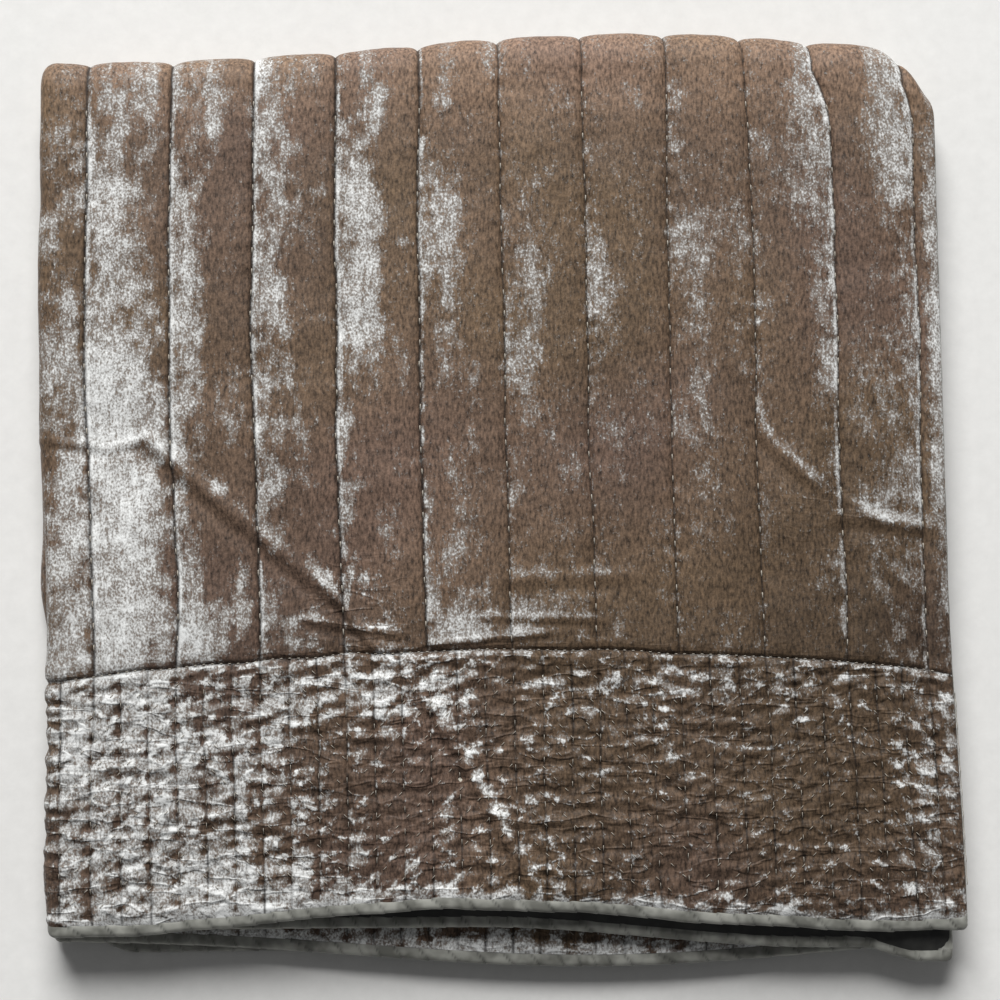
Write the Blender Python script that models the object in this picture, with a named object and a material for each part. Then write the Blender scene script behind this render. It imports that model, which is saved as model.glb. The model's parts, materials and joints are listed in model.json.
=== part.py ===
"""Folded hand-quilted velvet throw, modelled as a person would sew and fold it.

The throw is three cloths quilted together, velvet face, wadding and backing, with a narrow binding
round its raw edges. It is folded in half sideways and then in half endways, so four layers lie in a
flat stack. The head half (the two lower layers) lies still and the foot half (the two upper layers)
turns about the end fold at the back. Metres, +X to the right, +Y to the back, +Z up. The origin is
the middle of the stack's underside.
"""

import math

import bmesh
import bpy
from mathutils import Matrix, Vector

# Size of the folded stack
FOLDED_WIDTH = 0.560
FOLDED_DEPTH = 0.570
FOOT_SETBACK = 0.020            # the foot half's edge stops this far behind the head half's edge
BORDER_DEPTH = 0.160            # velvet border band at each end of the throw

# One layer, measured outwards from the plane where a half's two layers meet
CLEARANCE = 0.0003              # air left between pieces that touch
BACKING_INNER = 0.0006
BACKING_OUTER = 0.0015
WADDING_INNER = 0.0018
WADDING_OUTER = 0.0059
THREAD_LEVEL = 0.0064
VELVET_INNER = 0.0069
VELVET_OUTER = 0.0087

# Binding tape and sewing thread
BINDING_WIDTH = 0.008
BINDING_WALL = 0.0009
THREAD_RADIUS = 0.00025
CHANNEL_PITCH = 0.0508          # spacing of the long quilting rows
CHANNEL_ROWS = 11
FIRST_ROW_INSET = 0.026         # from the side fold's outside to the first row
BORDER_ROWS_PER_CHANNEL = 3

# Round shapes
SIDE_FOLD_STEPS = 8
END_FOLD_STEPS = 10
ROW_TURN_STEPS = 3

LAYER = VELVET_OUTER
HEAD_PLANE = LAYER
FOLD_AXIS_Z = 2 * LAYER + CLEARANCE
FOOT_PLANE = 3 * LAYER + 2 * CLEARANCE
END_FOLD_RADIUS = FOLD_AXIS_Z

RIGHT = FOLDED_WIDTH / 2
SIDE_FOLD_X = -FOLDED_WIDTH / 2 + LAYER
BACK = FOLDED_DEPTH / 2
FOLD_AXIS_Y = BACK - END_FOLD_RADIUS
HEAD_FRONT = -FOLDED_DEPTH / 2
FOOT_FRONT = HEAD_FRONT + FOOT_SETBACK
PANEL_BACK = FOLD_AXIS_Y - CLEARANCE

CLOTH_RIGHT = RIGHT - BINDING_WIDTH - CLEARANCE
WADDING_INSET = BINDING_WALL + CLEARANCE

# The two halves: name, the plane between their layers, and their front edge
HALVES = (
    ("head", HEAD_PLANE, HEAD_FRONT),
    ("foot", FOOT_PLANE, FOOT_FRONT),
)


def clear_scene():
    """Remove whatever the file opened with."""
    for obj in list(bpy.data.objects):
        bpy.data.objects.remove(obj, do_unlink=True)


def finish(name, red, green, blue, roughness):
    """A cloth or thread finish as a Principled material."""
    material = bpy.data.materials.new(name)
    material.use_nodes = True
    shader = material.node_tree.nodes["Principled BSDF"]
    shader.inputs["Base Color"].default_value = (red, green, blue, 1.0)
    shader.inputs["Roughness"].default_value = roughness
    shader.inputs["Metallic"].default_value = 0.0
    return material


def add_object(name, bm, material, parent=None):
    """Turn a finished bmesh into a named object with outward faces."""
    bmesh.ops.recalc_face_normals(bm, faces=bm.faces)
    mesh = bpy.data.meshes.new(name)
    bm.to_mesh(mesh)
    bm.free()
    mesh.materials.append(material)
    mesh.set_sharp_from_angle(angle=math.radians(35))
    obj = bpy.data.objects.new(name, mesh)
    bpy.context.collection.objects.link(obj)
    if parent is not None:
        obj.parent = parent
        obj.matrix_parent_inverse = parent.matrix_world.inverted()
    return obj


def box_section(inner, outer, near, far):
    """A strip's section: its distance from the half's mid-plane, and its run along Y."""
    return [(inner, near), (outer, near), (outer, far), (inner, far)]


def binding_section(front, inner, outer):
    """The tape's section round a raw front edge: a web with a wall on either face."""
    back = front + BINDING_WIDTH
    web = front + BINDING_WALL
    return [
        (inner, front),
        (outer, front),
        (outer, back),
        (outer - BINDING_WALL, back),
        (outer - BINDING_WALL, web),
        (inner + BINDING_WALL, web),
        (inner + BINDING_WALL, back),
        (inner, back),
    ]


def moved(geometry, kind):
    """The elements of one kind that an operator has just made."""
    return [item for item in geometry if isinstance(item, kind)]


def fold_round_side(section, plane, right):
    """Carry a section from the right edge, round the side fold, and back to the right edge."""
    bm = bmesh.new()
    verts = [bm.verts.new((right, y, plane + level)) for level, y in section]
    face = bm.faces.new(verts)
    out = bmesh.ops.extrude_face_region(bm, geom=[face])
    run = moved(out["geom"], bmesh.types.BMVert)
    bmesh.ops.translate(bm, verts=run, vec=(SIDE_FOLD_X - right, 0, 0))
    fold_start = moved(out["geom"], bmesh.types.BMFace)
    out = bmesh.ops.spin(
        bm,
        geom=fold_start,
        cent=(SIDE_FOLD_X, 0, plane),
        axis=(0, -1, 0),
        angle=math.pi,
        steps=SIDE_FOLD_STEPS,
    )
    fold_end = moved(out["geom_last"], bmesh.types.BMFace)
    out = bmesh.ops.extrude_face_region(bm, geom=fold_end)
    run = moved(out["geom"], bmesh.types.BMVert)
    bmesh.ops.translate(bm, verts=run, vec=(right - SIDE_FOLD_X, 0, 0))
    bmesh.ops.delete(bm, geom=fold_start + fold_end, context="FACES_ONLY")
    return bm


def fold_round_end(outline):
    """Spin an outline drawn on the fold's start plane half a turn about the end fold's axis."""
    bm = bmesh.new()
    faces = []
    for ring in outline:
        verts = [bm.verts.new((x, FOLD_AXIS_Y, FOLD_AXIS_Z - radius)) for x, radius in ring]
        faces.append(bm.faces.new(verts))
    bmesh.ops.remove_doubles(bm, verts=bm.verts, dist=0.000001)
    bmesh.ops.spin(
        bm,
        geom=list(bm.faces),
        cent=(0, FOLD_AXIS_Y, FOLD_AXIS_Z),
        axis=(1, 0, 0),
        angle=math.pi,
        steps=END_FOLD_STEPS,
    )
    return bm


def side_fold_outline(inner, outer, right):
    """Quads of the folded strip seen on the end fold's start plane, as (x, radius) points."""
    middle = CLEARANCE + LAYER
    rungs = [[(right, middle + inner), (right, middle + outer)]]
    for step in range(SIDE_FOLD_STEPS + 1):
        turn = math.pi * step / SIDE_FOLD_STEPS
        reach = math.sin(turn)
        rise = math.cos(turn)
        rungs.append([(SIDE_FOLD_X - level * reach, middle + level * rise) for level in (inner, outer)])
    rungs.append([(right, middle - inner), (right, middle - outer)])
    return [[a[0], a[1], b[1], b[0]] for a, b in zip(rungs, rungs[1:])]


def cut_mitre(bm, corner_x, corner_y, keep_side):
    """Cut a tape's end at 45 degrees where it meets the next side's tape."""
    normal = Vector((1, 1, 0)) if keep_side == "front" else Vector((-1, -1, 0))
    reach = CLEARANCE / math.sqrt(2)
    middle = Vector((corner_x, corner_y, 0)) - normal.normalized() * reach
    geometry = list(bm.verts) + list(bm.edges) + list(bm.faces)
    cut = bmesh.ops.bisect_plane(
        bm,
        geom=geometry,
        plane_co=middle,
        plane_no=normal,
        clear_outer=True,
    )
    rim = moved(cut["geom_cut"], bmesh.types.BMEdge)
    bmesh.ops.holes_fill(bm, edges=rim, sides=0)


def thread_tube(name, points, material, parent):
    """A sewing thread that follows a list of points."""
    curve = bpy.data.curves.new(name, "CURVE")
    curve.dimensions = "3D"
    curve.bevel_depth = THREAD_RADIUS
    curve.bevel_resolution = 0
    curve.use_fill_caps = True
    spline = curve.splines.new("POLY")
    spline.points.add(len(points) - 1)
    for target, point in zip(spline.points, points):
        target.co = (*point, 1.0)
    curve.materials.append(material)
    obj = bpy.data.objects.new(name, curve)
    bpy.context.collection.objects.link(obj)
    obj.parent = parent
    obj.matrix_parent_inverse = parent.matrix_world.inverted()


def row_turn(x, y, radius, direction, z):
    """Points of the half turn that joins one quilting row to the next."""
    turn = []
    for step in range(1, ROW_TURN_STEPS):
        angle = math.pi * step / ROW_TURN_STEPS
        turn.append((x + radius * (1 - math.cos(angle)), y + direction * radius * math.sin(angle), z))
    return turn


def quilting_rows(first_x, pitch, rows, near, far, z):
    """One thread worked up and down parallel rows, with a half turn between neighbours."""
    radius = pitch / 2
    low = near + radius
    high = far - radius
    points = []
    for row in range(rows):
        x = first_x + row * pitch
        ends = ((x, low, z), (x, high, z)) if row % 2 == 0 else ((x, high, z), (x, low, z))
        points.extend(ends)
        if row < rows - 1:
            direction = 1 if row % 2 == 0 else -1
            points.extend(row_turn(x, ends[1][1], radius, direction, z))
    return points


def build_cloths(half, plane, front, parent, finishes):
    """Velvet, wadding and backing of one half, each folded round the side fold."""
    cloth_front = front + BINDING_WIDTH + CLEARANCE
    seam = front + BORDER_DEPTH
    strips = (
        ("velvet_border", VELVET_INNER, VELVET_OUTER, cloth_front, seam - CLEARANCE, CLOTH_RIGHT),
        ("velvet_field", VELVET_INNER, VELVET_OUTER, seam, PANEL_BACK, CLOTH_RIGHT),
        ("wadding", WADDING_INNER, WADDING_OUTER, front + WADDING_INSET, PANEL_BACK, RIGHT - WADDING_INSET),
        ("backing", BACKING_INNER, BACKING_OUTER, cloth_front, PANEL_BACK, CLOTH_RIGHT),
    )
    for piece, inner, outer, near, far, right in strips:
        bm = fold_round_side(box_section(inner, outer, near, far), plane, right)
        add_object(f"{half}_{piece}", bm, finishes[piece.split("_")[0]], parent)


def build_bindings(half, plane, front, parent, finishes):
    """The end binding round the side fold, and a side binding on each layer's right edge."""
    section = binding_section(front, BACKING_INNER, VELVET_OUTER)
    bm = fold_round_side(section, plane, RIGHT)
    cut_mitre(bm, RIGHT, front, "front")
    add_object(f"{half}_end_binding", bm, finishes["binding"], parent)

    for layer, inner, outer in (
        ("top", BACKING_INNER, VELVET_OUTER),
        ("under", -VELVET_OUTER, -BACKING_INNER),
    ):
        section = binding_section(-RIGHT, inner, outer)
        bm = bmesh.new()
        face = bm.faces.new([bm.verts.new((-run, front, plane + level)) for level, run in section])
        out = bmesh.ops.extrude_face_region(bm, geom=[face])
        end = moved(out["geom"], bmesh.types.BMVert)
        bmesh.ops.translate(bm, verts=end, vec=(0, PANEL_BACK - front, 0))
        cut_mitre(bm, RIGHT, front, "side")
        add_object(f"{half}_side_binding_{layer}", bm, finishes["binding"], parent)


def build_threads(half, plane, front, parent, finishes):
    """The long channel rows, the close border rows and the border seam of one half."""
    seam = front + BORDER_DEPTH
    left = FIRST_ROW_INSET - FOLDED_WIDTH / 2
    close = CHANNEL_PITCH / BORDER_ROWS_PER_CHANNEL
    gap = 4 * THREAD_RADIUS
    border_front = front + BINDING_WIDTH + gap
    border_rows = (CHANNEL_ROWS - 1) * BORDER_ROWS_PER_CHANNEL + 1
    for layer, way in (("top", 1), ("under", -1)):
        z = plane + way * THREAD_LEVEL
        rows = quilting_rows(left, CHANNEL_PITCH, CHANNEL_ROWS, seam + gap, PANEL_BACK - gap, z)
        thread_tube(f"{half}_channel_thread_{layer}", rows, finishes["thread"], parent)
        rows = quilting_rows(left, close, border_rows, border_front, seam - gap, z)
        thread_tube(f"{half}_border_thread_{layer}", rows, finishes["thread"], parent)

    around = [(CLOTH_RIGHT, seam, plane + THREAD_LEVEL)]
    for step in range(SIDE_FOLD_STEPS + 1):
        turn = math.pi * step / SIDE_FOLD_STEPS
        x = SIDE_FOLD_X - THREAD_LEVEL * math.sin(turn)
        around.append((x, seam, plane + THREAD_LEVEL * math.cos(turn)))
    around.append((CLOTH_RIGHT, seam, plane - THREAD_LEVEL))
    thread_tube(f"{half}_border_seam_thread", around, finishes["thread"], parent)


def build_end_fold(finishes):
    """The cloths and the side bindings where the throw turns over at the back."""
    strips = (
        ("velvet", VELVET_INNER, VELVET_OUTER, CLOTH_RIGHT),
        ("wadding", WADDING_INNER, WADDING_OUTER, RIGHT - WADDING_INSET),
        ("backing", BACKING_INNER, BACKING_OUTER, CLOTH_RIGHT),
    )
    for piece, inner, outer, right in strips:
        bm = fold_round_end(side_fold_outline(inner, outer, right))
        add_object(f"fold_{piece}", bm, finishes[piece])

    middle = CLEARANCE + LAYER
    for place, inner, outer in (
        ("outer", middle + BACKING_INNER, middle + VELVET_OUTER),
        ("inner", middle - VELVET_OUTER, middle - BACKING_INNER),
    ):
        section = binding_section(-RIGHT, inner, outer)
        bm = fold_round_end([[(-run, level) for level, run in section]])
        add_object(f"fold_side_binding_{place}", bm, finishes["binding"])


def build():
    """Make the whole throw."""
    clear_scene()
    finishes = {
        "velvet": finish("silk_velvet", 0.13, 0.085, 0.06, 0.45),
        "wadding": finish("cotton_wadding", 0.75, 0.73, 0.68, 0.95),
        "backing": finish("cotton_backing", 0.10, 0.10, 0.085, 0.85),
        "binding": finish("cotton_binding", 0.19, 0.19, 0.165, 0.8),
        "thread": finish("sewing_thread", 0.2, 0.16, 0.13, 0.7),
    }
    hinge = bpy.data.objects.new("end_fold_axis", None)
    hinge.matrix_world = Matrix.Translation((0, FOLD_AXIS_Y, FOLD_AXIS_Z))
    bpy.context.collection.objects.link(hinge)
    base = bpy.data.objects.new("head_half_rest", None)
    bpy.context.collection.objects.link(base)
    bpy.context.view_layer.update()

    parents = {"head": base, "foot": hinge}
    for half, plane, front in HALVES:
        build_cloths(half, plane, front, parents[half], finishes)
        build_bindings(half, plane, front, parents[half], finishes)
        build_threads(half, plane, front, parents[half], finishes)
    build_end_fold(finishes)


build()
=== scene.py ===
"""The looks of a folded, hand-quilted velvet throw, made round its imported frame.

Its layers are counted from the floor: 0 and 1 are the head half, 2 and 3 the foot half, which turns
about the end fold at the back. Metres, +Z up, open edges at -Y.
"""

import functools
import json
import math

import bpy
import numpy as np
from mathutils import Matrix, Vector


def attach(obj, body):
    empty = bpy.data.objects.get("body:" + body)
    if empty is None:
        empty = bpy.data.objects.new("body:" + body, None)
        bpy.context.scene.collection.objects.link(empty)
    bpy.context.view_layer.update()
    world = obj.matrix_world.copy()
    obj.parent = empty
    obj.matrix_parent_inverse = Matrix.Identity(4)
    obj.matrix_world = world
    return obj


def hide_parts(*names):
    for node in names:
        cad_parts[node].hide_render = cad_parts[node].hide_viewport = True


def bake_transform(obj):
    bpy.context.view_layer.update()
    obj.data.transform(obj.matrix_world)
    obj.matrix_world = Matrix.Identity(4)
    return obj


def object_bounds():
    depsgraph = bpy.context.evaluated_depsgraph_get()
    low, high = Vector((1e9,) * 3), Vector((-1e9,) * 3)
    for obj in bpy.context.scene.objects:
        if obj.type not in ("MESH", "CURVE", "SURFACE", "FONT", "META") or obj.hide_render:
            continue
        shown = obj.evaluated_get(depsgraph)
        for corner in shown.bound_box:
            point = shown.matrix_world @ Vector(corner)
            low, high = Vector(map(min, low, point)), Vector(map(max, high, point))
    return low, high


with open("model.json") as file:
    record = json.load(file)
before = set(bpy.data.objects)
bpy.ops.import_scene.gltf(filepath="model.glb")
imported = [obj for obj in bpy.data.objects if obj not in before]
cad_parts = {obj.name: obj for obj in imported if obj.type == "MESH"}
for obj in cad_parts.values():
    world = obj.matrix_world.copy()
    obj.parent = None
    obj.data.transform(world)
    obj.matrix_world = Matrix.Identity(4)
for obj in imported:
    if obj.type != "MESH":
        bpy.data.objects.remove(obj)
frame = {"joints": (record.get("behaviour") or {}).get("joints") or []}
cad_low, cad_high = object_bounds()


# ------------------------------------
# Camera: almost straight above the stack, leaning a little towards its open front edge and
# turned a fraction of a degree, so that the front bindings show and the end fold lies at the top.
AIM = (0.0011, -0.0055, 0.03)
CAMERA_DISTANCE = 1.45
CAMERA_TILT = math.radians(6.0)
CAMERA_TURN = math.radians(-0.6)



def placed(name, data):
    """A new object in the scene."""
    made = bpy.data.objects.new(name, data)
    bpy.context.collection.objects.link(made)
    return made


camera = placed("camera", bpy.data.cameras.new("camera"))
camera.data.lens = 85.16
camera.data.clip_start = 0.05
camera.matrix_world = (
    Matrix.Translation(AIM)
    @ Matrix.Rotation(CAMERA_TILT, 4, "X")
    @ Matrix.Rotation(CAMERA_TURN, 4, "Z")
    @ Matrix.Translation((0, 0, CAMERA_DISTANCE))
)
bpy.context.scene.camera = camera


# ------------------------------------
# Floor and studio light: a matt warm-white floor with a faint grain, and one wide soft light behind
# the stack and a little to the left, so that only the front drops a short shadow; a dim surround.
def linear(hex_colour):
    """sRGB hex to linear RGBA: each channel c becomes ((c + 0.055) / 1.055) ** 2.4 above the toe."""
    channels = [int(hex_colour[i:i + 2], 16) / 255 for i in (1, 3, 5)]
    return (*[c / 12.92 if c <= 0.04045 else ((c + 0.055) / 1.055) ** 2.4 for c in channels], 1.0)


def set_inputs(tree, node, **inputs):
    """Give a node's inputs their values, or link them to sockets; _6 is input number 6."""
    for key, value in inputs.items():
        socket = node.inputs[int(key[1:])] if key[0] == "_" else node.inputs[key.replace("_", " ")]
        if isinstance(value, bpy.types.NodeSocket):
            tree.links.new(value, socket)
        else:
            socket.default_value = value


def add_node(tree, kind, settings=None, out=0, **inputs):
    """Add one shader node with its properties and inputs, and give one of its outputs."""
    made = tree.nodes.new("ShaderNode" + kind)
    for key, value in (settings or {}).items():
        setattr(made, key, value)
    set_inputs(tree, made, **inputs)
    return made.outputs[out]


def mix_colours(tree, factor, first, second):
    """Colour first where the factor is 0, and second where it is 1."""
    return add_node(tree, "Mix", {"data_type": "RGBA"}, 2, Factor=factor, _6=first, _7=second)


def new_material(name):
    """An empty material: itself, its node tree and its Principled shader."""
    material = bpy.data.materials.new(name)
    material.use_nodes = True
    tree = material.node_tree
    return material, tree, tree.nodes["Principled BSDF"]


def grained_material(name, dark, light, roughness, **grain):
    """A matt material whose colour goes from dark to light with a fine noise."""
    material, tree, shader = new_material(name)
    noise = add_node(tree, "TexNoise", Vector=add_node(tree, "TexCoord", out="Object"), **grain)
    colour = mix_colours(tree, noise, linear(dark), linear(light))
    set_inputs(tree, shader, Base_Color=colour, Roughness=roughness)
    return material


floor_paint = grained_material(
    "matt_white_floor", "#e2e1de", "#f4f3f0", 0.9, Scale=90.0, Detail=4.0, Roughness=0.7
)
FLOOR_SIZE = 12.0
half = FLOOR_SIZE / 2
floor_mesh = bpy.data.meshes.new("floor")
floor_corners = [(-half, -half, 0), (half, -half, 0), (half, half, 0), (-half, half, 0)]
floor_mesh.from_pydata(floor_corners, [], [(0, 1, 2, 3)])
floor_mesh.materials.append(floor_paint)
placed("floor", floor_mesh)

key_data = bpy.data.lights.new("key_light", "AREA")
key_data.shape = "DISK"
key_data.size = 4.6
key_data.energy = 710.0
key_light = placed("key_light", key_data)
LIGHT_TURN = math.radians(6)  # about Z, to the left
LIGHT_TILT = math.radians(-51)  # from straight above, to the back
LIGHT_DISTANCE = 7.0
key_light.matrix_world = (
    Matrix.Rotation(LIGHT_TURN, 4, "Z")
    @ Matrix.Rotation(LIGHT_TILT, 4, "X")
    @ Matrix.Translation((0, 0, LIGHT_DISTANCE))
)

surround = bpy.data.worlds.new("soft_studio")
surround.use_nodes = True
background = surround.node_tree.nodes["Background"]
set_inputs(surround.node_tree, background, Color=linear("#f3f4f6"), Strength=0.13)
bpy.context.scene.world = surround
bpy.context.scene.view_settings.view_transform = "Standard"


# ------------------------------------
# The folded stack: where each of the four layers lies. The real throw was folded by hand, so its
# front edges are staggered, it bows back in the middle, and it is plumpest away from its edges.
hinge = next(joint for joint in frame["joints"] if joint["name"] == "end_fold")
HINGE_Y = hinge["pos_m"][1]
LAYER = cad_high.z / 4
HALF_WIDTH = cad_high.x
PITCH = 0.0516  # between the long quilting rows
FIRST_ROW_X = -0.2525
BORDER = 0.29  # share of a layer's length that is the border band
BORDER_LENGTH, FIELD_LENGTH = 0.171, 0.37    # about, from front edge to seam and on to the fold
BINDING = 0.008  # width of the end tape on each face
ROW_STITCH = 0.0133  # from one running stitch to the next
FLOOR_GAP = 0.0003  # no cloth lies lower
HALVES = (("foot", 3, 2), ("head", 1, 0))  # each half's name, top layer and under layer


def velvet_way(layer):
    """1 on a layer whose velvet lies up (1 and 3), and -1 where it lies down (0 and 2)."""
    return 1 if layer % 2 else -1


def smoothstep(value):
    """0 below 0, 1 above 1, and 3 t^2 - 2 t^3 between."""
    t = np.clip(value, 0.0, 1.0)
    return t * t * (3 - 2 * t)


def bump(value, middle, reach):
    """A bell: exp of minus the squared distance from its middle, over its reach."""
    return np.exp(-(((value - middle) / reach) ** 2))


@functools.cache
def lattice(seed):
    """A table of random values from -1 to 1."""
    return np.random.default_rng(seed).uniform(-1, 1, (256, 256))


def cloth_noise(x, y, grain_x, grain_y, seed):
    """Smooth random height from -1 to 1: lattice values blended by smoothstep in both directions."""
    table = lattice(seed)
    gx = np.asarray(x) / grain_x + 97.3
    gy = np.asarray(y) / grain_y + 61.7
    ix = np.floor(gx).astype(int)
    iy = np.floor(gy).astype(int)
    fx = smoothstep(gx - ix)
    fy = smoothstep(gy - iy)
    near = table[ix % 256, iy % 256] * (1 - fx) + table[(ix + 1) % 256, iy % 256] * fx
    far = table[ix % 256, (iy + 1) % 256] * (1 - fx) + table[(ix + 1) % 256, (iy + 1) % 256] * fx
    return near * (1 - fy) + far * fy


def line_noise(place, grain, seed):
    """Smooth random height from -1 to 1 along one direction."""
    return cloth_noise(place, place * 0, grain, 1, seed)


def front_edge(layer, x):
    """Y of a layer's bound front edge: a constant, plus bells or smooth steps for its bows."""
    if layer == 3:
        return -0.2690 + 0.0165 * bump(x, -0.02, 0.15) + 0.0010 * line_noise(x, 0.03, 5)
    if layer == 2:
        return -0.2640 - 0.0145 * smoothstep((x + 0.02) / 0.22) - 0.009 * smoothstep((x - 0.215) / 0.04)
    if layer == 1:
        return -0.2700 - 0.0190 * bump(x, 0.06, 0.20)
    return -0.2785 + 0.0120 * smoothstep((-0.225 - x) / 0.035)


def left_edge(layer, y):
    """X of the side fold's outside: a constant, plus a smooth step of 7 mm inwards to the front,
    which starts further back on the foot half."""
    return -0.2835 + 0.0070 * smoothstep(((0.10, -0.05)[layer < 2] - y) / (0.20, 0.06)[layer < 2])


def right_edge(layer, y):
    """X of a layer's bound side edge: a smooth step outwards to the front, less its own inset."""
    inset = (0.006, 0.010, 0.008, 0.0)[layer]
    drift = (0.001, 0.003, 0.002, 0.0)[layer] * line_noise(y, 0.12, 40 + layer)
    return 0.2745 + 0.0055 * smoothstep((-0.05 - y) / 0.22) - inset + drift


def fold_line(x):
    """Y of the end fold's turning line: the hinge's less 12.5 mm, plus a bell right of the middle,
    less a smooth step to the fourth power that draws the right corner in by 28 mm."""
    drawn = smoothstep((x - 0.235) / 0.045) ** 4
    return HINGE_Y - 0.0125 + 0.0120 * bump(x, 0.08, 0.17) - 0.028 * drawn


def plumpness(x, y):
    """Height of the stack over its flat height: 1 + 0.15 (1 - u^4)(1 - v^4), with u and v 0 in the
    middle and 1 at the edges, less 0.10 past a smooth step at the open right."""
    u = x / HALF_WIDTH
    v = y / cad_high.y
    open_side = smoothstep((x - 0.225) / 0.055)
    return 1.0 + 0.15 * (1 - u ** 4) * (1 - v ** 4) - 0.10 * open_side


def seam_line(x):
    """Y of the seam between border band and field: falls to the sides by |x| to the power 2.2."""
    return -0.0980 - 0.0165 * np.abs(x / 0.275) ** 2.2 + 0.0013 * line_noise(x, 0.022, 7)


def spread(layer, across, along):
    """Plan position on a layer from the shares of its width and length (0 at the front edge, BORDER
    at the border seam, 1 at the fold), and the distances beyond the front edge and the seam."""
    nominal = -HALF_WIDTH + LAYER + across * (2 * HALF_WIDTH - LAYER)
    near, seam, far = front_edge(layer, nominal), seam_line(nominal), fold_line(nominal)
    in_border = near + (seam - near) * along / BORDER
    y = np.where(along < BORDER, in_border, seam + (far - seam) * (along - BORDER) / (1 - BORDER))
    left = left_edge(layer, y) + LAYER
    x = left + (right_edge(layer, y) - left) * across
    return x, y, y - near, y - seam


def middle_height(layer, x, y, inward):
    """Z of a layer's middle: its place in the stack, plus a bell where the front edge gapes."""
    gape = (0.0, 0.0010, 0.0022, 0.0060)[layer] * bump(x, 0.0, 0.13) * np.exp(-inward / 0.05)
    settle = (0.0, 0.0, 0.0006, 0.0012)[layer] * cloth_noise(x, y, 0.09, 0.11, 11 + layer)
    return LAYER * (layer + 0.5) * plumpness(x, y) + gape + settle


def loft(layer, x, y, inward):
    """Half a layer's thickness: from 0.40 to 1 by an exponential at the front, and a quarter circle
    at the right side."""
    front = 0.40 + 0.60 * (1 - np.exp(-np.maximum(inward - 0.006, 0) / 0.005))
    side = 1 - np.clip((right_edge(layer, y) - x) / 0.012, 0, 1)
    return LAYER / 2 * plumpness(x, y) * front * np.maximum(np.sqrt(1 - side ** 2), 0.10)


# ------------------------------------
# Quilting: rows of running stitch pull the velvet and the backing together. The field has long
# rows a channel apart; the border has three times as many, crossed by slanting rows in a zigzag.
ROWS_ACROSS = 3  # border rows to each channel
CLOSE_PITCH = PITCH / ROWS_ACROSS
ZIGZAG = 0.200  # width of one peak of the slanting rows
SLANT_SPACING = 0.0172
SLANT_STITCH = 0.0094
SLANT_RUN = 1.41  # length of a 45 degree row for each metre across


def row_number(across):
    """Place across a layer counted in quilting rows: 0 at the first row by the side fold."""
    return (-HALF_WIDTH + LAYER + across * (2 * HALF_WIDTH - LAYER) - FIRST_ROW_X) / PITCH


def share_across(row):
    """The inverse of row_number."""
    return (FIRST_ROW_X + row * PITCH + HALF_WIDTH - LAYER) / (2 * HALF_WIDTH - LAYER)


def beside_row(row, spacing):
    """Signed distance to the right of the nearest row, for rows that lie a spacing apart."""
    return (row - np.round(row)) * spacing


def wander(row, y, across):
    """Sideways drift of a row: 2.8 mm plus slow and quick noise, less up to 14 mm by the far right
    corner, all times a smooth step to none at the two sides."""
    inside = smoothstep(across / 0.04) * smoothstep((1 - across) / 0.04)
    slow, quick = cloth_noise(row, y, 1.0, 0.075, 21), cloth_noise(row, y, 1.0, 0.018, 22)
    drawn_in = 0.014 * smoothstep((across - 0.75) / 0.12) * smoothstep((y - 0.215) / 0.06) ** 2
    return inside * (0.0028 + 0.0016 * slow + 0.0006 * quick - drawn_in)


def stitch_phase(row, distance, pitch):
    """Distance along a row counted in stitches; each row starts at a place of its own."""
    return distance / pitch + 5.7 * np.sin(12.9898 * np.round(row) + 3.1)


def stitch_beat(row, distance, pitch):
    """1 at a stitch's pinch and 0 between, once every pitch."""
    return 0.5 + 0.5 * np.cos(2 * math.pi * stitch_phase(row, distance, pitch))


def slant_offset(x):
    """Y of the zigzag that the slanting rows follow: a triangle wave with 45 degree sides."""
    phase = (x + 0.187) / ZIGZAG
    return ZIGZAG * np.abs(phase - np.floor(phase) - 0.5)


def beside_segment(x, y, start, end):
    """Signed distance to the left of a line, and a fade to 0 past both of its ends."""
    run = np.subtract(end, start)
    length = np.hypot(*run)
    along = ((x - start[0]) * run[0] + (y - start[1]) * run[1]) / length
    off = ((x - start[0]) * -run[1] + (y - start[1]) * run[0]) / length
    return off, smoothstep(along / 0.018 + 0.5) * smoothstep((length - along) / 0.018 + 0.5)


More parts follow.
